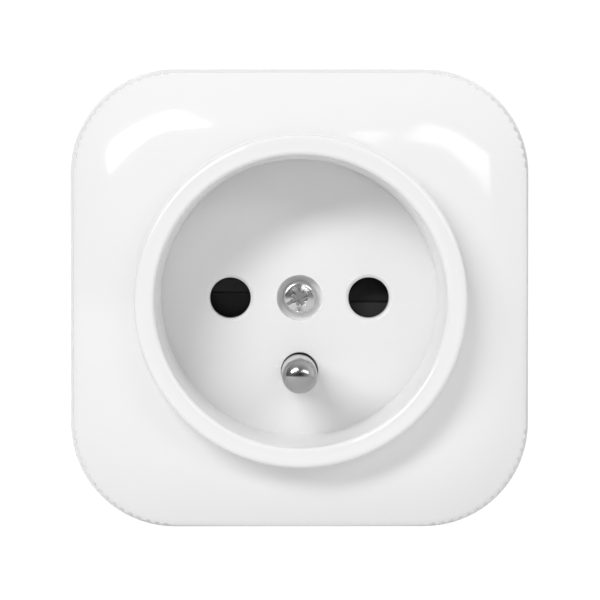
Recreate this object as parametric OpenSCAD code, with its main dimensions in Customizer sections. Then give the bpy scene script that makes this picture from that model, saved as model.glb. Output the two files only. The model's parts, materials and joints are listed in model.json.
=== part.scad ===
// Plug-in power meter: a metering adapter that goes into a wall socket and carries a socket in front.
// +X is right and +Z is up as seen from the front, and +Y points into the wall.
// The origin is the centre of the plug's end face, where the two plug pins come out.

/* [Body] */
// Width and height of the rounded square body
body_w = 62.6; // [61:0.2:66]
// Radius of the body's four corners
corner_r = 14.2; // [13:0.2:15]
// Distance from the plug's end face to the front of the collar
front_depth = 59.5; // [59:0.5:66]
// Depth of the plug boss behind the body
boss_depth = 16.5; // [16:0.5:18]
// Radius of the crowned front
crown_r = 90; // [80:1:120]
// Wall thickness of the front cover
cover_wall = 2; // [1.8:0.1:2.2]
// Wall thickness of the rear housing
housing_wall = 2.2; // [2:0.1:2.4]

/* [Grip flutes] */
// Number of flutes at each corner
flute_count = 16; // [8:1:16]
// Distance between flutes along the corner
flute_pitch = 1.34; // [1.3:0.02:1.38]
// Depth of a flute
flute_depth = 0.36; // [0.2:0.02:0.36]

/* [Socket] */
// Outer radius of the collar
collar_r = 22.3; // [22:0.1:23]
// Height of the collar above the crowned front
collar_h = 5; // [4:0.5:6]
// Radius of the recess at its mouth
mouth_r = 19.6; // [19.4:0.1:19.8]
// Radius of the recess at its floor
recess_floor_r = 19.3; // [19.2:0.1:19.4]
// Depth of the recess
recess_depth = 15; // [15:0.5:16]
// Distance between the two pin holes
pin_spacing = 19; // [19]
// Radius of a pin hole in the socket floor
pin_hole_r = 2.8; // [2.6:0.1:3]
// Distance from the pin holes' line down to the earth pin
earth_drop = 10; // [10]
// Length of the earth pin above the socket floor
earth_pin_len = 14; // [13:0.5:15]

/* [Plug] */
// Radius of the plug pins and of the earth pin
pin_r = 2.4; // [2.4]
// Length of the plug pins beyond the end face
pin_len = 19; // [18.5:0.5:19]
// Radius of the plug boss
boss_r = 18.5; // [18:0.1:18.6]

/* [Moving parts] */
// Half the angle that one shutter blade covers, in degrees
blade_half_angle = 21; // [20:1:22]
// Radius of the push button
button_r = 4; // [3.5:0.1:4.2]
// How far the push button stands out of the side
button_proud = 0.6; // [0.5:0.1:0.8]

/* [Hidden] */
$fn = 64;

// Depth positions along Y, from the front to the wall
y_front = -front_depth;
y_floor = y_front + recess_depth;
y_wall = -boss_depth;
y_crown = y_front + collar_h - (crown_r - sqrt(crown_r * crown_r - collar_r * collar_r));
y_part = y_floor - 1.5;
y_inner = y_wall - housing_wall + 0.2;

// Socket floor, shutter and contact carrier, front to back
floor_lip = 1.8;
floor_flange = 1.5;
y_flange = y_floor + floor_lip;
y_floor_back = y_flange + floor_flange;
y_shutter = y_floor_back + 0.3;
shutter_t = 2;
y_disc = y_shutter + shutter_t + 0.6;
disc_t = 1.8;
y_disc_back = y_disc + disc_t;
y_carrier_back = y_disc_back + 10.3;

// Main board
board_t = 1.6;
y_board_back = y_wall - 4.6;
y_board = y_board_back - board_t;
board_w = 55;
board_corner_w = 55.8;

// Places in the plane of the front
pin_x = pin_spacing / 2;
post_xy = 22.8;
ear_xy = 17.4;
ear_reach = ear_xy * sqrt(2);
ear_r = 3.4;
standoff_x = 24.2;
standoff_z = 11.5;
half_w = body_w / 2;

// Fits and fastener sizes
gap = 0.2;
run_gap = 0.07;
fit_gap = 0.05;
tiny = 0.01;
tube_r = 21.2;
floor_post_r = 3.2;
screw_m3_r = 1.4;
screw_m2_r = 0.95;
well_r = 3.1;
well_depth = 2.2;
neck_r = 2.2;
neck_out = 0.2;

// Case posts: the cover's and the housing's meet here, and the screws go 10 mm into the cover's
y_post_meet = -34;
post_r = 3.9;
cover_post_r = 3;
screw_bite = 10;
counterbore_r = 2.9;
counterbore_depth = 4;
case_head_h = 2;

// Socket contacts: round springs whose tails go down into the board
contact_in = pin_r + fit_gap;
contact_out = contact_in + 0.6;
tail_x = pin_x + contact_out;

// Height of the status light and its guide above the button's axis
light_z = 8.2;

// Push button and its switch, along X and Y
y_button = -32;
switch_board_x = 21.6;
switch_board_t = 1;
button_flange_r = 5.2;

// ---- Shapes shared by the sub-parts ----

// A flat outline seen from the front, given thickness from y_near to y_far
module slab(y_near, y_far) {
    translate([0, y_far, 0]) rotate([90, 0, 0]) linear_extrude(y_far - y_near) children();
}

// A round bar along Y
module rod(r, y_near, y_far, x = 0, z = 0) {
    translate([x, y_far, z]) rotate([90, 0, 0]) cylinder(r = r, h = y_far - y_near);
}

// A cone along Y
module taper(r_near, r_far, y_near, y_far, x = 0, z = 0) {
    translate([x, y_far, z]) rotate([90, 0, 0]) cylinder(r1 = r_far, r2 = r_near, h = y_far - y_near);
}

// A round bar along X
module bar_x(r, x_low, x_high, y, z = 0) {
    translate([x_low, y, z]) rotate([0, 90, 0]) cylinder(r = r, h = x_high - x_low);
}

// A box between two corners
module block(low, high) {
    translate(low) cube(high - low);
}

// A turned shape about Y, its profile drawn as [radius, depth towards the front]
module turned(y, x = 0, z = 0) {
    translate([x, y, z]) rotate([90, 0, 0]) rotate_extrude() children();
}

// A square with round corners, centred
module round_square(w, r) {
    square([w, w - 2 * r], center = true);
    square([w - 2 * r, w], center = true);
    for (sx = [-1, 1], sz = [-1, 1]) translate([sx, sz] * (w / 2 - r)) circle(r);
}

// Half profile of a round-ended pin that starts just clear of the face it stands on
module round_tip(length) {
    translate([0, neck_out]) square([pin_r, length - neck_out - pin_r]);
    intersection() {
        translate([0, length - pin_r]) circle(pin_r);
        square([pin_r, length]);
    }
}

module at_posts() {
    for (sx = [-1, 1], sz = [-1, 1]) translate([sx * post_xy, 0, sz * post_xy]) children();
}

module at_ears() {
    for (s = [-1, 1]) translate([s * ear_xy, 0, -s * ear_xy]) children();
}

module at_standoffs() {
    for (s = [-1, 1]) translate([s * standoff_x, 0, -s * standoff_z]) children();
}

// A screw along Y with a dished cross recess; its head starts at y_head and its shank runs to y_end
module screw(y_head, y_end, head_r, head_h, shank_r) {
    dir = sign(y_end - y_head);
    y_seat = y_head + dir * head_h;
    difference() {
        union() {
            rod(head_r, min(y_head, y_seat), max(y_head, y_seat));
            rod(shank_r, min(y_seat, y_end), max(y_seat, y_end));
        }
        for (turn = [0, 90]) rotate([0, turn, 0])
            block([-head_r * 0.62, min(y_head, y_head + dir * head_h * 0.6) - (dir > 0 ? 1 : 0), -0.3],
                  [head_r * 0.62, max(y_head, y_head + dir * head_h * 0.6) + (dir > 0 ? 0 : 1), 0.3]);
    }
}

// ---- Front cover ----

flute_r = 2 * flute_depth;

module fluted_outline() {
    difference() {
        round_square(body_w, corner_r);
        for (quarter = [0 : 3], i = [0 : flute_count - 1]) rotate(quarter * 90) {
            step = flute_pitch / corner_r * 180 / PI;
            angle = 45 + (i - (flute_count - 1) / 2) * step;
            translate([1, 1] * (half_w - corner_r))
                rotate(angle) translate([corner_r + flute_r - flute_depth, 0]) circle(flute_r, $fn = 24);
        }
    }
}

module crown(inset = 0) {
    translate([0, y_crown + crown_r, 0]) sphere(crown_r - inset, $fn = 256);
}

// The collar's ring with its front edges rounded
module collar_ring(edge_r = 0.6) {
    inner = mouth_r - 1;
    turned(y_part) {
        translate([inner, 0]) square([collar_r - inner, y_part - y_front - edge_r]);
        translate([inner, 0]) square([collar_r - edge_r - inner, y_part - y_front]);
        translate([collar_r - edge_r, y_part - y_front - edge_r]) circle(edge_r);
    }
}

module front_cover() {
    y_tube_end = y_flange - gap;
    color("white") difference() {
        union() {
            difference() {
                intersection() {
                    slab(y_front - 1, y_part) fluted_outline();
                    crown();
                }
                intersection() {
                    slab(y_front - 2, y_part + 1)
                        round_square(body_w - 2 * cover_wall, corner_r - cover_wall);
                    crown(cover_wall);
                }
            }
            collar_ring();
            rod(tube_r, y_front + 2, y_tube_end);
            intersection() {
                at_posts() rod(cover_post_r, y_front, y_post_meet);
                crown(cover_wall / 2);
            }
        }
        taper(mouth_r, recess_floor_r, y_front, y_floor);
        taper(mouth_r + 0.6, mouth_r, y_front - tiny, y_front + 0.6);
        rod(recess_floor_r, y_floor - tiny, y_tube_end + 1);
        at_posts() rod(screw_m3_r + fit_gap, y_post_meet - screw_bite - 2, y_post_meet + 1);
    }
}

// ---- Socket floor, shutter and centre screw ----

module socket_floor() {
    y_post_end = y_disc_back + 0.1;
    color("white") difference() {
        union() {
            rod(recess_floor_r - 0.15, y_floor, y_flange);
            rod(tube_r, y_flange - tiny, y_floor_back);
            rod(floor_post_r, y_floor_back - tiny, y_post_end);
        }
        for (s = [-1, 1]) {
            rod(pin_hole_r, y_floor - 1, y_floor_back + 1, x = s * pin_x);
            taper(pin_hole_r + 0.4, pin_hole_r, y_floor - tiny, y_floor + 0.4, x = s * pin_x);
        }
        rod(pin_r + gap / 2, y_floor - 1, y_floor_back + 1, z = -earth_drop);
        rod(well_r, y_floor - 1, y_floor + well_depth);
        rod(screw_m3_r + 0.2, y_floor, y_post_end + 1);
    }
}

module centre_screw() {
    head_h = 1.4;
    y_head = y_floor + well_depth - head_h;
    color("silver") screw(y_head, y_disc_back + 8, 2.35, head_h, screw_m3_r);
}

// Land edge distance from the pin holes' line, and how far the ramp falls
land_z = 0.8;
ramp_fall = 1.2;
blade_r = 13.4;

module shutter_blade() {
    reach = 2 * blade_r;
    side = reach * tan(blade_half_angle);
    difference() {
        slab(y_shutter, y_shutter + shutter_t) intersection() {
            circle(blade_r);
            polygon([[0, 0], [-reach, side], [-reach, -side]]);
        }
        translate([-reach, 0, 0]) rotate([90, 0, 90]) linear_extrude(reach - 5.6)
            polygon([[y_shutter - 1, land_z], [y_shutter, land_z], [y_shutter + 0.4, land_z - 0.2],
                     [y_shutter + ramp_fall, -blade_r / 2], [y_shutter - 1, -blade_r / 2]]);
    }
}

module pin_shutter() {
    color("#1a1a1a") difference() {
        union() {
            shutter_blade();
            rotate([0, 180, 0]) shutter_blade();
            rod(4.9, y_shutter, y_shutter + shutter_t);
        }
        rod(floor_post_r + run_gap, y_shutter - 1, y_shutter + shutter_t + 1);
    }
}

// A wire coil about Y: a list of rings, each a small polygon standing across the wire
function coil_point(turn, mean_r, pitch, y0) =
    [mean_r * cos(turn * 360), y0 + pitch * turn, mean_r * sin(turn * 360)];

module coil(mean_r, wire_r, turns, pitch, y0, sides = 8, per_turn = 20) {
    rings = floor(turns * per_turn);
    points = [for (i = [0 : rings], j = [0 : sides - 1])
        let (t = i / per_turn, a = j * 360 / sides, c = coil_point(t, mean_r, pitch, y0))
        [c.x + wire_r * cos(a) * cos(t * 360), c.y + wire_r * sin(a), c.z + wire_r * cos(a) * sin(t * 360)]];
    skin = [for (i = [0 : rings - 1], j = [0 : sides - 1])
        let (k = (j + 1) % sides, p = i * sides, q = p + sides) [p + j, p + k, q + k, q + j]];
    first = [for (j = [sides - 1 : -1 : 0]) j];
    last = [for (j = [0 : sides - 1]) rings * sides + j];
    polyhedron(points, concat([first, last], skin));
}

module shutter_spring() {
    color("silver") coil(3.9, 0.22, 3.25, 0.6, y_shutter + shutter_t + 0.35);
}

// ---- Socket contacts and their carrier ----

module contact_carrier() {
    housing_x = 15.4;
    housing_z = 5.4;
    color("#d8d4c8") difference() {
        union() {
            rod(tube_r, y_floor_back + 0.1, y_disc_back);
            block([-housing_x, y_disc_back - tiny, -housing_z], [housing_x, y_carrier_back, housing_z]);
            at_ears() rod(ear_r, y_disc, y_disc_back);
            rotate([0, 135, 0]) block([-ear_r, y_disc, -ear_reach], [ear_r, y_disc_back, ear_reach]);
        }
        rod(tube_r - 1.5, y_floor_back - 1, y_disc);
        rod(4.7, y_disc - 1, y_disc_back + 0.1 + gap);
        rod(screw_m3_r + fit_gap, y_disc, y_disc_back + 8.5);
        for (s = [-1, 1]) {
            rod(3.1, y_disc - 1, y_disc_back + 1, x = s * pin_x);
            block([min(s * 5.8, s * 14), y_disc_back, -4.1], [max(s * 5.8, s * 14), y_carrier_back + 1, 4.1]);
        }
        rod(pin_r + fit_gap, y_disc - 1, y_disc_back + 1, z = -earth_drop);
        at_ears() rod(1.6, y_disc - 1, y_disc_back + 1);
    }
}

module carrier_screws() {
    color("silver") at_ears() screw(y_disc - 1.6, y_disc + 9, 2.6, 1.6, screw_m3_r - 0.15);
}

// Round spring contact split in two leaves, with a tail that goes down into the board
module contact(side) {
    y_tube = y_disc_back + 0.3;
    y_tube_end = y_tube + 9;
    tail_half_w = 2.5;
    tail_half_t = 0.45;
    difference() {
        union() {
            rod(contact_out, y_tube, y_tube_end, x = side * pin_x);
            block([side * tail_x - tail_half_t, y_tube + 5, -tail_half_w],
                  [side * tail_x + tail_half_t, y_board_back + 0.6, tail_half_w]);
        }
        rod(contact_in, y_tube - 1, y_tube_end + 1, x = side * pin_x);
        block([side * pin_x - 0.4, y_tube - 1, -5], [side * pin_x + 0.4, y_tube_end - 2.5, 5]);
    }
}

module live_contact() { color("#b87333") contact(-1); }

module neutral_contact() { color("#b87333") contact(1); }

module socket_earth_pin() {
    y_shoulder = y_disc_back + 0.1;
    color("silver") {
        turned(y_floor, z = -earth_drop) round_tip(earth_pin_len);
        rod(neck_r, y_floor - neck_out - tiny, y_shoulder + tiny, z = -earth_drop);
        rod(3.4, y_shoulder - tiny, y_shoulder + 1.5, z = -earth_drop);
        rod(2, y_shoulder + 1, y_inner - 0.1, z = -earth_drop);
    }
}

module insulating_sheet() {
    color("#e8e2c0") difference() {
        block([-16, y_board - 1.9, -14], [16, y_board - 1.5, 5.8]);
        for (s = [-1, 1])
            block([s * tail_x - 0.8, y_board - 3, -2.8], [s * tail_x + 0.8, y_board, 2.8]);
        rod(2.3, y_board - 3, y_board, z = -earth_drop);
    }
}

// ---- Rear housing with the plug boss ----

strip_in_z = 16.8;
strip_t = 1;
// An earth strip is this much thinner where it passes through the housing
pad_step = 0.3;
end_wall = 3;
boss_inner_r = 14.3;

module rear_housing() {
    tongue_in = 2.15;
    tongue_t = 0.85;
    tongue_h = 1.4;
    standoff_r = 2.6;
    color("white") difference() {
        union() {
            difference() {
                slab(y_part, y_wall) round_square(body_w, corner_r);
                slab(y_part - 1, y_inner) round_square(body_w - 2 * housing_wall, corner_r - housing_wall);
            }
            difference() {
                slab(y_part - tongue_h, y_part + 3)
                    round_square(body_w - 2 * tongue_in, corner_r - tongue_in);
                slab(y_part - 3, y_part + 4)
                    round_square(body_w - 2 * (tongue_in + tongue_t), corner_r - tongue_in - tongue_t);
            }
            at_posts() rod(post_r, y_post_meet + gap, y_wall - 0.5);
            at_ears() rod(ear_r, y_disc_back + 0.1, y_wall - 1);
            at_standoffs() rod(standoff_r, y_board_back + 0.1, y_wall - 1);
        }
        rod(boss_r + gap / 2, y_inner - 1, y_wall + 1);
        at_posts() {
            rod(screw_m3_r + gap, y_part, y_wall + 1);
            rod(counterbore_r, y_wall - counterbore_depth, y_wall + 1);
        }
        at_ears() rod(1.3, y_disc_back - 1, y_disc_back + 9);
        at_standoffs() rod(1, y_board_back - 1, y_wall - 1.2);
        bar_x(button_r + 0.15, half_w - 4, half_w + 1, y_button);
        bar_x(1 + fit_gap, half_w - 4, half_w + 1, y_button, light_z);
    }
}

// Round plug body: a cup with a flange that is welded inside the housing's back
module plug_boss() {
    groove_x = 15.9;
    groove_z = 2.7;
    groove_len = 14;
    earth_entry_r = pin_r + 0.3;
    pocket_z = 16.6;
    pocket_x = 4.5;
    slot_in_z = 12;
    flange_r = 20.3;
    beyond = 22;
    y_flange_front = y_inner - 1.6;
    color("white") difference() {
        union() {
            rod(boss_r, y_inner - 0.5, 0);
            rod(flange_r, y_flange_front, y_inner - fit_gap);
        }
        rod(boss_inner_r, y_flange_front - 1, -end_wall);
        for (s = [-1, 1]) {
            rod(pin_r + fit_gap, -end_wall - 1, 1, x = s * pin_x);
            block([min(s * groove_x, s * beyond), -groove_len, -groove_z],
                  [max(s * groove_x, s * beyond), 1, groove_z]);
            block([-pocket_x, y_flange_front - 1, min(s * pocket_z, s * beyond)],
                  [pocket_x, 1, max(s * pocket_z, s * beyond)]);
            block([-pocket_x, y_flange_front - 1, min(s * slot_in_z, s * beyond)],
                  [pocket_x, y_inner, max(s * slot_in_z, s * beyond)]);
        }
        rod(earth_entry_r, -end_wall - 1, 1, z = -earth_drop);
    }
}

module case_screws() {
    y_head = y_wall - counterbore_depth + case_head_h + gap / 2;
    color("silver") at_posts()
        screw(y_head, y_post_meet - screw_bite, counterbore_r - gap, case_head_h, screw_m3_r);
}

// ---- Plug pins and plug earth ----

module plug_pin(x) {
    y_shoulder = -end_wall - 0.1;
    color("silver") {
        translate([x, 0, 0]) rotate([-90, 0, 0]) rotate_extrude() round_tip(pin_len);
        rod(neck_r, y_shoulder - tiny, neck_out + tiny, x = x);
        rod(3.6, y_shoulder - 2, y_shoulder + tiny, x = x);
        rod(1.5, y_board - 0.7, y_shoulder - 1, x = x);
    }
}

module live_plug_pin() { plug_pin(-pin_x); }

module neutral_plug_pin() { plug_pin(pin_x); }

retainer_xz = [[-6.6, 9.6], [6.6, 9.6]];

module pin_retainer() {
    y_plate = -7.8;
    y_plate_back = -5.3;
    color("#d8d4c8") difference() {
        rod(13.8, y_plate, y_plate_back);
        for (s = [-1, 1]) rod(1.65, y_plate - 1, y_plate_back + 1, x = s * pin_x);
        rod(3.3, y_plate - 1, y_plate_back + 1, z = -earth_drop);
        for (p = retainer_xz) rod(1.2, y_plate - 1, y_plate_back + 1, x = p.x, z = p.y);
    }
}

module retainer_screws() {
    color("silver") for (p = retainer_xz) translate([p.x, 0, p.y]) screw(-9.1, -3.2, 1.9, 1.2, 1);
}

module earth_bridge() {
    y_bar = y_inner - 1;
    y_pad = y_wall + 1;
    half_x = 4;
    tail_z = strip_in_z + strip_t - pad_step;
    pad_z = strip_in_z + strip_t;
    color("#c9a24b") difference() {
        union() {
            block([-half_x, y_bar, -tail_z], [half_x, y_inner - tiny, tail_z]);
            for (s = [-1, 1]) {
                block([-half_x, y_bar, min(s * strip_in_z, s * tail_z)],
                      [half_x, y_pad + tiny, max(s * strip_in_z, s * tail_z)]);
                block([-half_x, y_pad, min(s * strip_in_z, s * pad_z)],
                      [half_x, -1, max(s * strip_in_z, s * pad_z)]);
            }
        }
        rod(2.05, y_bar - 1, y_inner + 1, z = -earth_drop);
    }
}

module earth_sleeve() {
    bore_r = pin_r + fit_gap;
    bore_end = 14.6;
    slit = 0.8;
    color("#c9a24b") difference() {
        rod(bore_r + 0.7, y_inner + 0.05, -end_wall - 0.2, z = -earth_drop);
        rod(bore_r, -bore_end, 0, z = -earth_drop);
        block([-slit / 2, -bore_end + 3.6, -earth_drop - 5], [slit / 2, 0, -earth_drop + 5]);
    }
}

// ---- Main board and what is soldered to it ----

module main_board() {
    color("#1f6b3a") difference() {
        slab(y_board, y_board_back) difference() {
            intersection() {
                square(board_w, center = true);
                rotate(45) square(board_corner_w, center = true);
            }
            for (s = [-1, 1]) {
                translate([s * ear_xy, -s * ear_xy]) circle(3.8);
                translate([s * pin_x, 0]) circle(1.7);
                translate([s * tail_x, 0]) square([1.4, 5.4], center = true);
                translate([s * standoff_x, -s * standoff_z]) circle(1.1);
            }
            translate([0, -earth_drop]) circle(3);
        }
    }
}

module board_screws() {
    color("silver") at_standoffs() screw(y_board - 1.2, y_wall - 1.4, 1.9, 1.2, screw_m2_r);
}

// A part on the board's front: its corner, its width and height, and how far it stands out
module on_board(x, z, w, h, stand) {
    block([x, y_board - stand, z], [x + w, y_board, z + h]);
}

module relay() {
    color("#20242a") on_board(x = -12.2, z = 6.8, w = 18.4, h = 15.3, stand = 10.2);
}

module shunt() {
    color("#a0785a") difference() {
        on_board(x = -20, z = -3.6, w = 3, h = 8, stand = 1.4);
        block([-21, y_board - 0.8, -2], [-16, y_board + 1, 2.8]);
    }
}

module chip(x, z, w, h, body_h, leads, lead_pitch) {
    lead_w = 0.4;
    difference() {
        on_board(x, z, w, h, body_h + 0.15);
        on_board(x - 1, z - 1, w + 2, h + 2, 0.15);
    }
    for (i = [0 : leads - 1]) {
        lead_x = x + w / 2 + (i - (leads - 1) / 2) * lead_pitch - lead_w / 2;
        on_board(lead_x, z - 0.9, lead_w, h + 1.8, 0.3);
    }
}

module metering_chip() {
    color("#222222") chip(x = 4.2, z = -12.6, w = 6.5, h = 4.4, body_h = 1, leads = 8, lead_pitch = 0.65);
}

module supply_chip() {
    color("#222222") chip(x = -1.6, z = -20.6, w = 5, h = 3.9, body_h = 1.4, leads = 4, lead_pitch = 1.27);
}

module sense_resistors() {
    spacing = 2.2;
    color("#2b2b2b") for (i = [0 : 3])
        on_board(x = -12.8 + i * spacing, z = -12.6, w = 1.6, h = 3.2, stand = 0.6);
}

module bridge_rectifier() {
    color("#222222") chip(x = -20.8, z = 6.2, w = 4.8, h = 4, body_h = 2.2, leads = 2, lead_pitch = 2.5);
}

module bulk_capacitors() {
    color("#2f3f5c") for (z = [11.4, 20.2]) rod(4, y_board - 12.5, y_board, x = 12, z = z);
}

module filter_inductor() {
    color("#3a3a3a") translate([9.8, y_board, -23.4]) {
        rod(4, -1.5, 0);
        rod(3, -8.5, -1);
        rod(4, -10, -8);
    }
}

module film_capacitor() {
    color("#d9b23c") on_board(x = -16, z = -21.8, w = 13, h = 6, stand = 11);
}

module varistor() {
    disc_t = 4.2;
    lead_r = 0.35;
    color("#2e5fa3") translate([-19.7, y_board, -13]) {
        bar_x(5, -disc_t / 2, disc_t / 2, -6.2);
        for (dz = [-2.5, 2.5]) rod(lead_r, -4, 0, z = dz);
    }
}

module fuse() {
    color("#8a5a3a") rod(2, y_board - 10.5, y_board, x = 2.4, z = -24.6);
}

// ---- Radio board ----

radio_x = -26.6;
radio_t = 0.8;

module radio_board() {
    color("#15181c") block([radio_x, y_board - 18, -10], [radio_x + radio_t, y_board, 8]);
}

module radio_shield() {
    shield_t = 2.2;
    x_near = radio_x + radio_t;
    color("silver") block([x_near, y_board - 11.5, -9], [x_near + shield_t, y_board - 1.5, 7]);
}

// ---- Push button and status light ----

module switch_board() {
    color("#1f6b3a")
        block([switch_board_x, y_board - 15, -5], [switch_board_x + switch_board_t, y_board, 10.5]);
}

key_x = switch_board_x + switch_board_t;
key_h = 3.5;
plunger_r = 1.6;
plunger_tip_x = key_x + 4.9;

module key_switch() {
    color("#303030") difference() {
        block([key_x, y_button - 3, -3], [key_x + key_h, y_button + 3, 3]);
        bar_x(plunger_r + 0.08, key_x + 1.4, key_x + key_h + 1, y_button);
    }
}

module switch_plunger() {
    color("#c8b48c") bar_x(plunger_r, key_x + 2, plunger_tip_x, y_button);
}

module push_button() {
    flange_x = half_w - housing_wall - 0.15;
    color("white") {
        bar_x(button_r, flange_x - tiny, half_w + button_proud, y_button);
        bar_x(button_flange_r, flange_x - 0.9, flange_x, y_button);
        bar_x(1.8, plunger_tip_x + tiny, flange_x - 0.5, y_button);
    }
}

module status_light() {
    color("#e8e8d0")
        block([key_x, y_button - 0.9, light_z - 0.8], [key_x + 0.8, y_button + 0.9, light_z + 0.8]);
}

module light_guide() {
    color("#e6f0f4") {
        bar_x(1, key_x + 1.2, half_w, y_button, light_z);
        bar_x(1.6, half_w - housing_wall - 1.1, half_w - housing_wall - 0.1, y_button, light_z);
    }
}

front_cover();
socket_floor();
pin_shutter();
shutter_spring();
centre_screw();
socket_earth_pin();
contact_carrier();
carrier_screws();
live_contact();
neutral_contact();
insulating_sheet();
rear_housing();
plug_boss();
case_screws();
live_plug_pin();
neutral_plug_pin();
pin_retainer();
retainer_screws();
earth_bridge();
earth_sleeve();
main_board();
board_screws();
relay();
shunt();
metering_chip();
sense_resistors();
supply_chip();
bridge_rectifier();
bulk_capacitors();
filter_inductor();
film_capacitor();
varistor();
fuse();
radio_board();
radio_shield();
switch_board();
key_switch();
switch_plunger();
push_button();
status_light();
light_guide();
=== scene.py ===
import json
import math

import bmesh
import bpy
from mathutils import Matrix, Vector


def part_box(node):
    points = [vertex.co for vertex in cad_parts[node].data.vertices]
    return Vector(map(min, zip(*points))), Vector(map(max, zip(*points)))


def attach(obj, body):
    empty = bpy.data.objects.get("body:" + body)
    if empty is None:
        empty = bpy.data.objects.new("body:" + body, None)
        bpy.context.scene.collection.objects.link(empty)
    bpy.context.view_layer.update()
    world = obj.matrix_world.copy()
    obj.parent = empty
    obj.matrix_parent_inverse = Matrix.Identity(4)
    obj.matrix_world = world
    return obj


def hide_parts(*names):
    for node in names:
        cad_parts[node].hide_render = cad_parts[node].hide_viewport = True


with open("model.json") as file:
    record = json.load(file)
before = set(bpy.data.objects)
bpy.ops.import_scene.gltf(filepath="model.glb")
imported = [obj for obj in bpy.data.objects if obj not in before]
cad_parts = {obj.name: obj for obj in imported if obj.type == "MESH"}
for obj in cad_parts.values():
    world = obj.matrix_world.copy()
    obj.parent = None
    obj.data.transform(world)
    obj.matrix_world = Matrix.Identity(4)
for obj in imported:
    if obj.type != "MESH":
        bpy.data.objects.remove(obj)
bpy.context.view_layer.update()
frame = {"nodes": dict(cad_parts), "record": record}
nodes = frame["nodes"]
mm = 0.001
print("frame loaded:", len(nodes), "nodes")

# The frame in mm: the front faces -Y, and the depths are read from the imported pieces
coverLow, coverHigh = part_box("front_cover")
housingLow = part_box("rear_housing")[0]
floorLow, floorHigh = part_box("socket_floor")
halfWidth = coverHigh.x / mm
frontY = coverLow.y / mm
floorY = floorLow.y / mm
tongueHeight = 1.4
partY = housingLow.y / mm + tongueHeight

# The camera looks at the aim point, in metres, from the given distance and angles in degrees
view = {
    "aim": (0, -0.050, -0.0001),
    "distance": 0.5695,
    "elevation": 2.0,
    "azimuth": -0.6,
    "lens": 251.4,
}


def makeCamera(settings):
    camera = bpy.data.objects.new("camera", bpy.data.cameras.new("camera"))
    camera.data.lens = settings["lens"]
    camera.data.sensor_width = 36
    camera.data.clip_start = 0.05
    camera.data.clip_end = 20
    rise = math.radians(settings["elevation"])
    turn = math.radians(settings["azimuth"])
    back = Matrix.Rotation(turn, 3, "Z") @ Vector((0, -math.cos(rise), math.sin(rise)))
    camera.rotation_mode = "QUATERNION"
    camera.location = Vector(settings["aim"]) + back * settings["distance"]
    camera.rotation_quaternion = (-back).to_track_quat("-Z", "Y")
    bpy.context.scene.collection.objects.link(camera)
    bpy.context.scene.camera = camera


# Softboxes in front of the cover: each one's way (right, up) for one metre forward, its size at one metre,
# its tilt in degrees and its brightness. They stand further off and are larger in proportion.
softboxes = {
    "keySoftbox": {"way": (-0.63, 0.58), "size": (0.77, 0.30), "tilt": 19, "glow": 15.8},
    "sideSoftbox": {"way": (0.62, 0.42), "size": (0.68, 0.27), "tilt": -10, "glow": 3.2},
    "smallReflector": {"way": (0.165, 0.41), "size": (0.085, 0.17), "tilt": -15, "glow": 2.4},
}
softboxDistance = 2.5


def makeSoftbox(name, s):
    lamp = bpy.data.lights.new(name, "AREA")
    lamp.shape = "RECTANGLE"
    lamp.size, lamp.size_y = (softboxDistance * side for side in s["size"])
    lamp.energy = s["glow"] * math.pi * lamp.size * lamp.size_y
    holder = bpy.data.objects.new(name, lamp)
    place = Vector((s["way"][0], -1, s["way"][1])) * softboxDistance + Vector(view["aim"])
    facing = Vector((0, 1, 0)).to_track_quat("-Z", "Z").to_matrix().to_4x4()
    roll = Matrix.Rotation(math.radians(s["tilt"]), 4, "Z")
    holder.matrix_world = Matrix.Translation(place) @ facing @ roll
    bpy.context.scene.collection.objects.link(holder)


# The room's light: wide glows, each with its direction, its sharpness and its strength, over an even level.
# The camera itself sees the room and the floor as plain white.
glows = {
    "right": {"way": (1, 0, 0), "sharp": 2, "strength": 1.05},
    "above": {"way": (0, 0, 1), "sharp": 2, "strength": 0.72},
    "left": {"way": (-1, 0, 0), "sharp": 2, "strength": 0.12},
    "below": {"way": (0, 0, -1), "sharp": 2, "strength": 0.6},
    "behind": {"way": (0, 1, 0), "sharp": 2, "strength": 0.6},
}
room = {"level": 0.035, "floorDrop": 0.16, "floorDepth": 6, "white": 1.05}


def addNode(tree, kind, sockets=None, links=None, **settings):
    node = tree.nodes.new(kind)
    for key, value in settings.items():
        setattr(node, key, value)
    for key, value in (sockets or {}).items():
        node.inputs[key].default_value = value
    for key, source in (links or {}).items():
        tree.links.new(source, node.inputs[key])
    return node


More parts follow.
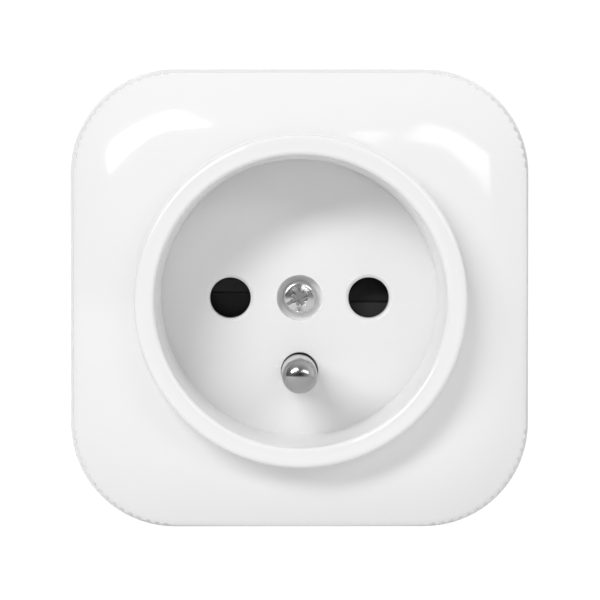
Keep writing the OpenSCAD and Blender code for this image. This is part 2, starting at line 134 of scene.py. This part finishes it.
def makeRoom(s):
    # The world lights the pieces with the level and the glows
    world = bpy.data.worlds.new("studio")
    bpy.context.scene.world = world
    world.use_nodes = True
    tree = world.node_tree
    tree.nodes.clear()
    where = addNode(tree, "ShaderNodeTexCoord")
    level = addNode(tree, "ShaderNodeValue")
    level.outputs[0].default_value = s["level"]
    for glow in glows.values():
        facing = addNode(tree, "ShaderNodeVectorMath", {1: glow["way"]}, {0: where.outputs["Generated"]},
                         operation="DOT_PRODUCT")
        facing = addNode(tree, "ShaderNodeMath", {1: 0}, {0: facing.outputs["Value"]}, operation="MAXIMUM")
        facing = addNode(tree, "ShaderNodeMath", {1: glow["sharp"]}, {0: facing.outputs[0]},
                         operation="POWER")
        level = addNode(tree, "ShaderNodeMath", {1: glow["strength"]},
                        {0: facing.outputs[0], 2: level.outputs[0]}, operation="MULTIPLY_ADD")
    light = addNode(tree, "ShaderNodeBackground", links={"Strength": level.outputs[0]})
    seen = addNode(tree, "ShaderNodeBackground", {"Color": (1, 1, 1, 1), "Strength": s["white"]})
    light.inputs["Color"].default_value = (1, 1, 1, 1)
    path = addNode(tree, "ShaderNodeLightPath")
    mix = addNode(tree, "ShaderNodeMixShader",
                  links={0: path.outputs["Is Camera Ray"], 1: light.outputs[0], 2: seen.outputs[0]})
    addNode(tree, "ShaderNodeOutputWorld", links={"Surface": mix.outputs[0]})
    # The floor throws back pale grey light and shows white
    bm = bmesh.new()
    bmesh.ops.create_grid(bm, x_segments=1, y_segments=1, size=s["floorDepth"])
    bmesh.ops.translate(bm, verts=bm.verts, vec=(0, 0, coverLow.z - s["floorDrop"]))
    mesh = bpy.data.meshes.new("paleFloor")
    bm.to_mesh(mesh)
    bm.free()
    floor = bpy.data.objects.new("paleFloor", mesh)
    bpy.context.scene.collection.objects.link(floor)
    paint = bpy.data.materials.new("paleFloorPaint")
    paint.use_nodes = True
    tree = paint.node_tree
    shader = tree.nodes["Principled BSDF"]
    shader.inputs["Base Color"].default_value = (0.8, 0.8, 0.8, 1)
    shader.inputs["Roughness"].default_value = 0.9
    seen = addNode(tree, "ShaderNodeEmission", {"Color": (1, 1, 1, 1), "Strength": s["white"]})
    path = addNode(tree, "ShaderNodeLightPath")
    mix = addNode(tree, "ShaderNodeMixShader",
                  links={0: path.outputs["Is Camera Ray"], 1: shader.outputs[0], 2: seen.outputs[0]})
    tree.links.new(mix.outputs[0], tree.nodes["Material Output"].inputs["Surface"])
    mesh.materials.append(paint)


makeCamera(view)
for name, settings in softboxes.items():
    makeSoftbox(name, settings)
makeRoom(room)
bpy.context.scene.view_settings.view_transform = "Standard"
print("camera, light and floor made")


# An sRGB hex colour as linear values with alpha
def fromHex(code):
    def toLinear(value):
        return value / 12.92 if value <= 0.04045 else ((value + 0.055) / 1.055) ** 2.4
    return tuple(toLinear(int(code[i:i + 2], 16) / 255) for i in (1, 3, 5)) + (1,)


def startFinish(name):
    material = bpy.data.materials.new(name)
    material.use_nodes = True
    tree = material.node_tree
    place = addNode(tree, "ShaderNodeTexCoord").outputs["Object"]
    return material, tree, tree.nodes["Principled BSDF"], place


# Each dictionary gives the two ends of a colour drift, its size in mm, the roughness range and the grain's
# size in mm with its height in mm. Grain finer than 0.25 mm would vanish, so it is drawn at 0.25 mm or more.
def mouldedPlastic(name, s):
    material, tree, shader, place = startFinish(name)
    drift = addNode(tree, "ShaderNodeTexNoise", {"Scale": 1000 / s["drift"], "Detail": 3}, {"Vector": place})
    colour = addNode(tree, "ShaderNodeMix", {"A": fromHex(s["colours"][0]), "B": fromHex(s["colours"][1])},
                     {"Factor": drift.outputs["Fac"]}, data_type="RGBA")
    colour = colour.outputs["Result"]
    if "paintedLitColour" in s:
        # The foremost faces are painted a lighter grey as painted light: they face the opening and catch more
        # light than the deeper faces
        height = addNode(tree, "ShaderNodeSeparateXYZ", links={0: place}).outputs["Y"]
        first, last = (s["paintedLitY"] + depth * mm for depth in s["paintedLitDepths"])
        # Painted light: this mask lightens only the faces within the given depths of the foremost face
        paintedLitMask = addNode(tree, "ShaderNodeMapRange",
                         {"From Min": first, "From Max": last, "To Min": 1, "To Max": 0}, {"Value": height})
        colour = addNode(tree, "ShaderNodeMix", {"B": fromHex(s["paintedLitColour"])},
                         {"Factor": paintedLitMask.outputs[0], "A": colour}, data_type="RGBA").outputs["Result"]
    tree.links.new(colour, shader.inputs["Base Color"])
    wear = addNode(tree, "ShaderNodeTexNoise", {"Scale": 1000 / s["wear"], "Detail": 5}, {"Vector": place})
    rough = addNode(tree, "ShaderNodeMapRange", {"To Min": s["rough"][0], "To Max": s["rough"][1]},
                    {"Value": wear.outputs["Fac"]})
    tree.links.new(rough.outputs[0], shader.inputs["Roughness"])
    grain = addNode(tree, "ShaderNodeTexNoise", {"Scale": 1000 / s["grain"], "Detail": 2}, {"Vector": place})
    bump = addNode(tree, "ShaderNodeBump", {"Strength": 1, "Distance": s["height"] * mm},
                   {"Height": grain.outputs["Fac"]})
    tree.links.new(bump.outputs[0], shader.inputs["Normal"])
    shader.inputs["IOR"].default_value = s.get("ior", 1.5)
    if "clear" in s:
        shader.inputs["Transmission Weight"].default_value = s["clear"]
    if "glow" in s:
        shader.inputs["Emission Color"].default_value = fromHex(s["colours"][0])
        shader.inputs["Emission Strength"].default_value = s["glow"]
    return material


# Metals: the same drift, and fine lines turned round Y for a turned part or an even speckle for a plated one
def workedMetal(name, s):
    material, tree, shader, place = startFinish(name)
    drift = addNode(tree, "ShaderNodeTexNoise", {"Scale": 1000 / s["drift"], "Detail": 4}, {"Vector": place})
    colour = addNode(tree, "ShaderNodeMix", {"A": fromHex(s["colours"][0]), "B": fromHex(s["colours"][1])},
                     {"Factor": drift.outputs["Fac"]}, data_type="RGBA")
    tree.links.new(colour.outputs["Result"], shader.inputs["Base Color"])
    stretch = addNode(tree, "ShaderNodeMapping", {"Scale": s.get("stretch", (1, 1, 1))}, {"Vector": place})
    lines = addNode(tree, "ShaderNodeTexNoise", {"Scale": 1000 / s["grain"], "Detail": 3},
                    {"Vector": stretch.outputs[0]})
    rough = addNode(tree, "ShaderNodeMapRange", {"To Min": s["rough"][0], "To Max": s["rough"][1]},
                    {"Value": lines.outputs["Fac"]})
    tree.links.new(rough.outputs[0], shader.inputs["Roughness"])
    bump = addNode(tree, "ShaderNodeBump", {"Strength": 1, "Distance": s["height"] * mm},
                   {"Height": lines.outputs["Fac"]})
    tree.links.new(bump.outputs[0], shader.inputs["Normal"])
    shader.inputs["Metallic"].default_value = 1
    return material


# Glass-fibre board under solder mask: the weave shows faintly through a glossy coloured lacquer. The wave
# texture repeats every tenth of pi, and its threads lie a weave apart, in mm.
def maskedBoard(name, s):
    material, tree, shader, place = startFinish(name)
    thread = {"Scale": 1000 * math.pi / 10 / s["weave"], "Distortion": 0.4}
    warp, weft = (addNode(tree, "ShaderNodeTexWave", thread, {"Vector": place}, wave_type="BANDS",
                          bands_direction=direction) for direction in "XZ")
    both = addNode(tree, "ShaderNodeMath", links={0: warp.outputs["Fac"], 1: weft.outputs["Fac"]},
                   operation="MULTIPLY")
    colour = addNode(tree, "ShaderNodeMix", {"A": fromHex(s["colours"][0]), "B": fromHex(s["colours"][1])},
                     {"Factor": both.outputs[0]}, data_type="RGBA")
    tree.links.new(colour.outputs["Result"], shader.inputs["Base Color"])
    bump = addNode(tree, "ShaderNodeBump", {"Strength": 0.6, "Distance": 0.01 * mm},
                   {"Height": both.outputs[0]})
    tree.links.new(bump.outputs[0], shader.inputs["Normal"])
    shader.inputs["Roughness"].default_value = s["rough"]
    return material


plastics = {
    # Polished ABS cover: clean cool white, mirror-like lights with soft edges
    "cover_white": {"colours": ("#f5f5f5", "#f2f2f2"), "drift": 25, "wear": 9, "rough": (0.07, 0.12),
                    "grain": 3.0, "height": 0.002, "ior": 1.52},
    # Socket floor of white thermoset: a little duller than the cover
    "socket_white": {"colours": ("#f3f3f3", "#f0f0f0"), "drift": 12, "wear": 4, "rough": (0.2, 0.3),
                     "grain": 0.5, "height": 0.002},
    # Housing of the same white, finely spark-textured so that it looks satin
    "housing_white": {"colours": ("#f2f2f2", "#efefef"), "drift": 20, "wear": 6, "rough": (0.28, 0.4),
                      "grain": 0.35, "height": 0.012},
    # Black polyamide: deep and dull, with its foremost faces painted dark grey as painted light, where they
    # catch the light through the opening
    "shutter_black": {"colours": ("#060606", "#0a0a0a"), "drift": 4, "wear": 2, "rough": (0.5, 0.65),
                      "grain": 0.3, "height": 0.008, "ior": 1.38, "paintedLitColour": "#232324",
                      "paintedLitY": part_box("pin_shutter")[0].y, "paintedLitDepths": (0.1, 0.3)},
    # Undyed polyamide: warm ivory and waxy
    "natural_plastic": {"colours": ("#ddd8c8", "#d3cdb9"), "drift": 8, "wear": 4, "rough": (0.35, 0.5),
                        "grain": 0.4, "height": 0.006},
    # Pressed insulating paper: fibrous and matt
    "sheet_paper": {"colours": ("#e6dfbd", "#d6cda3"), "drift": 1.5, "wear": 2, "rough": (0.75, 0.9),
                    "grain": 0.3, "height": 0.02},
    # Relay case of dark polyester: smooth, with dull patches
    "relay_case": {"colours": ("#1d2126", "#272c33"), "drift": 10, "wear": 3, "rough": (0.25, 0.45),
                   "grain": 0.4, "height": 0.005},
    # Moulding epoxy of chips: grey-black and matt with quartz filler
    "chip_epoxy": {"colours": ("#202122", "#2d2e2f"), "drift": 0.8, "wear": 1, "rough": (0.55, 0.75),
                   "grain": 0.25, "height": 0.008},
    # Shrunk sleeve on the capacitors: dark blue and glossy
    "sleeve_blue": {"colours": ("#24304a", "#2c3a59"), "drift": 6, "wear": 3, "rough": (0.15, 0.3),
                    "grain": 0.9, "height": 0.006},
    # Sintered ferrite: dull dark grey with pores
    "ferrite_grey": {"colours": ("#353535", "#454444"), "drift": 0.7, "wear": 1, "rough": (0.6, 0.85),
                     "grain": 0.3, "height": 0.02},
    # Film capacitor in yellow epoxy: even and slightly glossy
    "film_yellow": {"colours": ("#d5a92c", "#c89b22"), "drift": 5, "wear": 2, "rough": (0.3, 0.45),
                    "grain": 0.6, "height": 0.006},
    # Dipped blue epoxy: thick, glossy and a little wavy
    "varistor_blue": {"colours": ("#24559c", "#2a62ae"), "drift": 3, "wear": 2, "rough": (0.15, 0.3),
                      "grain": 1.6, "height": 0.03},
    # Brown fuse body: glazed and even
    "fuse_brown": {"colours": ("#7d4f2f", "#6c4226"), "drift": 3, "wear": 2, "rough": (0.2, 0.35),
                   "grain": 0.9, "height": 0.005},
    # Black thermoplastic of the key switch
    "switch_black": {"colours": ("#1b1b1c", "#242425"), "drift": 3, "wear": 1.5, "rough": (0.35, 0.5),
                     "grain": 0.3, "height": 0.005},
    # Tan acetal plunger: waxy
    "plunger_tan": {"colours": ("#c3ae84", "#b8a276"), "drift": 2, "wear": 1.5, "rough": (0.35, 0.5),
                    "grain": 0.4, "height": 0.004},
    # Cast resin of the light: milky
    "light_resin": {"colours": ("#e4e8d4", "#dfe4c8"), "drift": 1, "wear": 1, "rough": (0.2, 0.35),
                    "grain": 0.5, "height": 0.002, "glow": 0.15},
    # Clear acrylic guide: glassy, with polished ends
    "clear_guide": {"colours": ("#eef3f5", "#e6eef2"), "drift": 3, "wear": 2, "rough": (0.04, 0.1),
                    "grain": 1.2, "height": 0.001, "ior": 1.49, "clear": 0.8},
}

metals = {
    # Bright zinc plating on steel: cool and very shiny, with a faint speckle
    "plated_screw": {"colours": ("#e6e6e6", "#d2d2d3"), "drift": 0.8, "rough": (0.12, 0.22), "grain": 0.4,
                     "height": 0.0012},
    # Spring steel wire: grey with drawing marks
    "spring_steel": {"colours": ("#a9aaab", "#8f9091"), "drift": 1.5, "rough": (0.2, 0.35), "grain": 0.3,
                     "height": 0.003},
    # Nickel plating on turned brass: bright grey, with the tool's fine rings round the pin
    "plated_pin": {"colours": ("#bdbdbd", "#a9a9aa"), "drift": 3, "rough": (0.1, 0.2), "grain": 0.5,
                   "height": 0.002, "stretch": (0.2, 2.5, 0.2)},
    # Phosphor bronze strip, stamped: reddish gold with rolling lines
    "contact_bronze": {"colours": ("#b98a5c", "#a5744a"), "drift": 4, "rough": (0.25, 0.4), "grain": 0.6,
                       "height": 0.003, "stretch": (1, 0.15, 1)},
    # Brass strip: yellow, slightly dulled
    "earth_brass": {"colours": ("#c9a860", "#b7954d"), "drift": 5, "rough": (0.22, 0.38), "grain": 0.6,
                    "height": 0.003, "stretch": (1, 0.15, 1)},
    # Manganese copper of the shunt: dull pinkish brown
    "shunt_alloy": {"colours": ("#9a7a62", "#846652"), "drift": 2, "rough": (0.4, 0.55), "grain": 0.3,
                    "height": 0.004},
    # Tinned sheet of the shield: pale, cloudy grey
    "tinned_shield": {"colours": ("#c3c4c2", "#aaabaa"), "drift": 3, "rough": (0.25, 0.45), "grain": 0.5,
                      "height": 0.004},
}

boards = {
    # Green mask: glossy, over a glass weave of 0.5 mm that is drawn twice as coarse so that it shows
    "board_green": {"colours": ("#17532f", "#236b40"), "weave": 0.99, "rough": 0.3},
    # Black mask: duller, over the same weave
    "board_black": {"colours": ("#0f1114", "#1a1d21"), "weave": 0.99, "rough": 0.45},
}

finishes = {name: mouldedPlastic(name + "_finish", s) for name, s in plastics.items()}
finishes.update({name: workedMetal(name + "_finish", s) for name, s in metals.items()})
finishes.update({name: maskedBoard(name + "_finish", s) for name, s in boards.items()})
slotOf = {part["node"]: part["material_slot"] for part in frame["record"]["subparts"]}
for name, thing in nodes.items():
    thing.data.materials.clear()
    thing.data.materials.append(finishes[slotOf[name]])
print("finishes made:", len(finishes))


mergeDistance = 1e-5  # mm


def placeRing(ring, points):
    for vert, point in zip(ring, points):
        vert.co = point


# Extrudes a ring of vertices and moves the new one to the points
def growRing(bm, ring, points):
    edges = [bm.edges.get((ring[i - 1], ring[i])) for i in range(len(ring))]
    made = bmesh.ops.extrude_edge_only(bm, edges=edges)["geom"]
    fresh = {item for item in made if isinstance(item, bmesh.types.BMVert)}
    grown = [next(e.other_vert(v) for e in v.link_edges if e.other_vert(v) in fresh) for v in ring]
    placeRing(grown, points)
    return grown


# Makes the visible piece of a shape in mm, and says what it rides on, what it replaces and its finish
def finishPiece(bm, name, body, replaced, slot, smooth, scale=mm):
    bmesh.ops.scale(bm, verts=bm.verts, vec=(scale, scale, scale))
    mesh = bpy.data.meshes.new(name)
    bm.to_mesh(mesh)
    bm.free()
    mesh.materials.append(finishes[slot])
    mesh.shade_smooth()
    mesh.set_sharp_from_angle(angle=math.radians(smooth))
    piece = bpy.data.objects.new(name, mesh)
    bpy.context.scene.collection.objects.link(piece)
    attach(piece, body)
    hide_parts(*replaced)
    return piece


# A turned shape about an axis along Y at (x, z): the profile is [radius, y] pairs
def turnedShape(bm, profile, x, z, steps=96):
    rim = [bm.verts.new((x + r, y, z)) for r, y in profile]
    edges = [bm.edges.new(pair) for pair in zip(rim, rim[1:])]
    bmesh.ops.spin(bm, geom=rim + edges, cent=(x, 0, z), axis=(0, 1, 0), angle=2 * math.pi, steps=steps,
                   use_merge=True)
    bmesh.ops.remove_doubles(bm, verts=bm.verts, dist=mergeDistance)
    bmesh.ops.recalc_face_normals(bm, faces=bm.faces)


# Front cover, in mm and degrees: a crowned square with a collar, a recess wall behind it and four posts
cover = {
    "cornerRadius": 14.2,
    "crownRadius": 140,
    "shoulderWidth": 10,
    "shoulderRadius": 25,
    "collarRadius": 22.3,
    "collarHeight": 5,
    "mouthRadius": 19.6,
    "floorRadius": 18.95,
    "seatRadius": floorHigh.x / mm + 0.05,
    "seatChamfer": 0.3,
    "seatGap": 0.02,
    "lip": 0.5,
    "brim": 0.8,
    "lean": 30,
    "tubeRadius": 21.2,
    "tubeEnd": floorY + 1.6,
    "wall": 2.0,
    "edgeRadius": 0.3,
    "rimRadius": 0.6,
    "fillet": 0.4,
    "flutes": 16,
    "flutePitch": 1.34,
    "fluteDepth": 0.24,
    "fluteSteps": 8,
    "sideSteps": 16,
    "domeSteps": 22,
    "innerSteps": 8,
    "bendSteps": 4,
    "seam": 0.15,
    "postRadius": 3,
    "postBore": 1.45,
    "postPlace": 22.8,
    "postEnd": -34,
    "postSteps": 32,
}


# The rounded square's outline as (x, z, outward x, outward z, flute depth) from the middle of the right side
def coverOutline(c):
    flat = halfWidth - c["cornerRadius"]
    pitchAngle = c["flutePitch"] / c["cornerRadius"]
    first = math.pi / 4 - pitchAngle * c["flutes"] / 2
    total = c["flutes"] * c["fluteSteps"]
    cutterRadius = 2 * c["fluteDepth"]
    angles = [0] + [first + pitchAngle * k / c["fluteSteps"] for k in range(total + 1)] + [math.pi / 2]
    quarter = [(halfWidth, flat * k / c["sideSteps"], 1, 0, 0) for k in range(c["sideSteps"])]
    for angle in angles:
        offset = ((angle - first) / pitchAngle % 1 - 0.5) * c["flutePitch"]
        inFlute = first <= angle <= first + pitchAngle * c["flutes"] and abs(offset) < cutterRadius
        depth = max(math.sqrt(cutterRadius ** 2 - offset ** 2) - c["fluteDepth"], 0) if inFlute else 0
        x, z = math.cos(angle), math.sin(angle)
        quarter.append((flat + c["cornerRadius"] * x, flat + c["cornerRadius"] * z, x, z, depth))
    quarter += [(flat * (1 - k / c["sideSteps"]), halfWidth, 0, 1, 0) for k in range(1, c["sideSteps"])]
    outline = []
    for turn in ((1, 0), (0, 1), (-1, 0), (0, -1)):
        for x, z, outX, outZ, depth in quarter:
            outline.append((x * turn[0] - z * turn[1], x * turn[1] + z * turn[0],
                            outX * turn[0] - outZ * turn[1], outX * turn[1] + outZ * turn[0], depth))
    return outline


# Height of the front: a gentle crown that rolls down along the outline
def domeY(c, x, z):
    apex = frontY + c["collarHeight"] - c["collarRadius"] ** 2 / (2 * c["crownRadius"])
    past = [abs(v) - (halfWidth - c["cornerRadius"]) for v in (x, z)]
    inward = math.hypot(*past) if min(past) > 0 else max(past)
    roll = max(c["shoulderWidth"] - (c["cornerRadius"] - inward), 0)
    return apex + (x * x + z * z) / (2 * c["crownRadius"]) + roll ** 2 / (2 * c["shoulderRadius"])


def makeCover(c):
    outline = coverOutline(c)
    steps = c["bendSteps"]
    arc = [math.pi / 2 * k / steps for k in range(steps + 1)]

    def circle(radius, y):
        return [(radius * x / math.hypot(x, z), y, radius * z / math.hypot(x, z)) for x, z, *_ in outline]

    def edge(inset, flute=1, y=None, drop=0):
        points = []
        for x, z, outX, outZ, depth in outline:
            cut = c["lip"] + inset + flute * depth
            px, pz = x - outX * cut, z - outZ * cut
            points.append((px, domeY(c, px, pz) + drop if y is None else y, pz))
        return points

    def blendRings(inner, outer, share, drop=0):
        points = []
        for (ax, _, az), (bx, _, bz) in zip(inner, outer):
            x, z = ax + (bx - ax) * share, az + (bz - az) * share
            points.append((x, domeY(c, x, z) + drop, z))
        return points

    rim, fillet, radius = c["rimRadius"], c["fillet"], c["edgeRadius"]
    footY = domeY(c, c["collarRadius"] + fillet, 0)
    foot = circle(c["collarRadius"] + fillet, footY)
    brim = edge(c["brim"], 0)
    lean = math.radians(c["lean"])
    bend = [lean + (math.pi / 2 - lean) * k / steps for k in range(steps + 1)]
    overY = floorY - c["seatGap"]
    # Up the recess wall, over the collar and out along the dome
    rings = [circle(c["seatRadius"], overY), circle(c["floorRadius"], overY),
             circle(c["floorRadius"] + c["seatChamfer"] / 3, overY - c["seatChamfer"])]
    rings += [circle(c["mouthRadius"] + rim * (1 - math.cos(a)), frontY + rim * (1 - math.sin(a)))
              for a in arc]
    rings += [circle((c["mouthRadius"] + c["collarRadius"]) / 2, frontY)]
    rings += [circle(c["collarRadius"] - rim * (1 - math.sin(a)), frontY + rim * (1 - math.cos(a)))
              for a in arc]
    rings += [circle(c["collarRadius"] + fillet * (1 - math.cos(a)), footY - fillet * (1 - math.sin(a)))
              for a in arc[:-1]]
    rings += [blendRings(foot, brim, k / c["domeSteps"]) for k in range(c["domeSteps"] + 1)]
    # Round the edge, down to the seam and back under the dome to the recess tube
    rings += [edge(radius * (1 - math.sin(a)), drop=radius * (math.cos(lean) - math.cos(a))) for a in bend]
    rings += [edge(0, y=partY - c["seam"]), edge(c["seam"], y=partY), edge(c["wall"], 0, y=partY)]
    ceiling = edge(c["wall"], 0, drop=c["wall"])
    tube = circle(c["tubeRadius"], 0)
    rings += [blendRings(tube, ceiling, 1 - k / c["innerSteps"], c["wall"])
              for k in range(c["innerSteps"] + 1)]
    rings += [circle(c["tubeRadius"], c["tubeEnd"]), circle(c["seatRadius"], c["tubeEnd"])]

    bm = bmesh.new()
    ring = bmesh.ops.create_circle(bm, segments=len(outline), radius=1)["verts"]
    placeRing(ring, circle(c["seatRadius"], c["tubeEnd"]))
    for points in rings:
        ring = growRing(bm, ring, points)
    bmesh.ops.remove_doubles(bm, verts=bm.verts, dist=mergeDistance)
    bmesh.ops.recalc_face_normals(bm, faces=bm.faces)
    # The posts' tops end inside the wall and follow the dome
    place = c["postPlace"]
    top = domeY(c, place, place) + c["wall"] / 2
    profile = [(c["postBore"], top), (c["postRadius"], top), (c["postRadius"], c["postEnd"]),
               (c["postBore"], c["postEnd"]), (c["postBore"], top)]
    for x in (-place, place):
        for z in (-place, place):
            turnedShape(bm, profile, x, z, c["postSteps"])
    for vert in bm.verts:
        if abs(vert.co.y - top) < 10 * mergeDistance:
            vert.co.y = domeY(c, vert.co.x, vert.co.z) + c["wall"] / 2
    return finishPiece(bm, "glossyCover", "housing", ["front_cover"], "cover_white", smooth=35)


makeCover(cover)
print("cover made")


# Earth pin in front, in mm: it hangs a drop below the middle, a little aside in its hole
earthPin = {
    "drop": 10,
    "aside": (-0.08, -0.08),
    "radius": 2.4,
    "tipHeight": 1.7,
    "tipSteps": 14,
    "edge": 0.05,
    "neck": 2.2,
    "step": 0.2,
    "shoulder": 3.4,
    "shoulderY": -36.4,
    "shoulderDepth": 1.5,
    "stem": 2.0,
}


def makeEarthPin(s):
    low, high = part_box("socket_earth_pin")
    tipY, endY = low.y / mm, high.y / mm
    neckY = floorY - s["step"]
    backY = s["shoulderY"] + s["shoulderDepth"]
    r = s["radius"]
    profile = [(0, tipY)]
    for k in range(1, s["tipSteps"] + 1):
        angle = math.pi / 2 * k / s["tipSteps"]
        profile.append((r * math.sin(angle), tipY + s["tipHeight"] * (1 - math.cos(angle))))
    profile += [(r, neckY - s["edge"]), (r - s["edge"], neckY), (s["neck"], neckY),
                (s["neck"], s["shoulderY"]), (s["shoulder"], s["shoulderY"]), (s["shoulder"], backY),
                (s["stem"], backY), (s["stem"], endY), (0, endY)]
    bm = bmesh.new()
    turnedShape(bm, profile, s["aside"][0], s["aside"][1] - s["drop"])
    return finishPiece(bm, "nickelEarthPin", "housing", ["socket_earth_pin"], "plated_pin", smooth=35)


makeEarthPin(earthPin)


# Centre screw, in mm and degrees: a pan head with a slot, a cross and a finer star between its arms. Each cut
# is (length, width, depth), and its bottom shrinks by the taper.
screw = {
    "headRadius": 2.35,
    "shank": 1.4,
    "headHeight": 1.4,
    "edge": 0.6,
    "crown": 0.25,
    "steps": 6,
    "turn": 28,
    "cross": (3.1, 0.8, 1.1),
    "slot": (5.2, 0.7, 0.5),
    "star": (2.7, 0.55, 0.7),
    "taper": (0.72, 1, 0.6),
    "smooth": 30,
}


def makeCentreScrew(s):
    low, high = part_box("centre_screw")
    headY, endY = low.y / mm, high.y / mm
    underY = headY + s["headHeight"]
    r, edge, steps = s["headRadius"], s["edge"], s["steps"]
    profile = [(0, headY)]
    for k in range(1, steps + 1):
        profile.append(((r - edge) * k / steps, headY + s["crown"] * (k / steps) ** 2))
    for k in range(1, steps + 1):
        angle = math.pi / 2 * k / steps
        profile.append((r - edge + edge * math.sin(angle), headY + s["crown"] + edge * (1 - math.cos(angle))))
    profile += [(r, underY), (s["shank"], underY), (s["shank"], endY), (0, endY)]
    bm = bmesh.new()
    turnedShape(bm, profile, 0, 0)
    head = finishPiece(bm, "centreScrewBright", "housing", ["centre_screw"], "plated_screw", s["smooth"])
    turn = s["turn"]
    cutters = [(s["slot"], turn), (s["cross"], turn), (s["cross"], turn + 90), (s["star"], turn + 45),
               (s["star"], turn + 135)]
    for size, angle in cutters:
        tool = bmesh.new()
        bmesh.ops.create_cube(tool, size=1)
        bmesh.ops.scale(tool, verts=tool.verts, vec=(size[0], 2 * size[2], size[1]))
        deep = [v for v in tool.verts if v.co.y > 0]
        bmesh.ops.scale(tool, verts=deep, vec=s["taper"])
        bmesh.ops.rotate(tool, verts=tool.verts, matrix=Matrix.Rotation(-math.radians(angle), 3, "Y"))
        bmesh.ops.translate(tool, verts=tool.verts, vec=(0, headY, 0))
        bmesh.ops.scale(tool, verts=tool.verts, vec=(mm, mm, mm))
        mesh = bpy.data.meshes.new("screwCutter")
        tool.to_mesh(mesh)
        tool.free()
        blade = bpy.data.objects.new("screwCutter", mesh)
        bpy.context.scene.collection.objects.link(blade)
        cut = head.modifiers.new("cut", "BOOLEAN")
        cut.operation = "DIFFERENCE"
        cut.solver = "EXACT"
        cut.object = blade
        bpy.context.view_layer.update()
        shaped = bpy.data.meshes.new_from_object(head.evaluated_get(bpy.context.evaluated_depsgraph_get()))
        head.modifiers.clear()
        head.data = shaped
        bpy.data.objects.remove(blade)
    head.data.set_sharp_from_angle(angle=math.radians(s["smooth"]))
    return head


makeCentreScrew(screw)
print("screw and pin made")


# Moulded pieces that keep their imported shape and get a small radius, in mm, along their edges
softening = {"segments": 3, "sharperThan": 40, "smooth": 30, "flatWithin": 0.5}
softEdges = {
    "socket_floor": ("socketFloorMoulded", "housing", 0.12),
    "rear_housing": ("rearHousingMoulded", "housing", 0.35),
    "plug_boss": ("plugBossMoulded", "housing", 0.3),
    "pin_shutter": ("pinShutterMoulded", "shutter", 0.08),
    "push_button": ("pushButtonMoulded", "button", 0.35),
}


def makeSoftEdged(node, name, body, width):
    bm = bmesh.new()
    bm.from_mesh(nodes[node].data)
    bmesh.ops.remove_doubles(bm, verts=bm.verts, dist=1e-6)
    flatWithin = math.radians(softening["flatWithin"])
    bmesh.ops.dissolve_limit(bm, angle_limit=flatWithin, verts=bm.verts, edges=bm.edges)
    piece = finishPiece(bm, name, body, [node], slotOf[node], softening["smooth"], scale=1)
    bevel = piece.modifiers.new("edges", "BEVEL")
    bevel.width = width * mm
    bevel.segments = softening["segments"]
    bevel.limit_method = "ANGLE"
    bevel.angle_limit = math.radians(softening["sharperThan"])
    bevel.use_clamp_overlap = True
    bevel.harden_normals = False
    return piece


for node, settings in softEdges.items():
    makeSoftEdged(node, *settings)
print("soft edged pieces made")
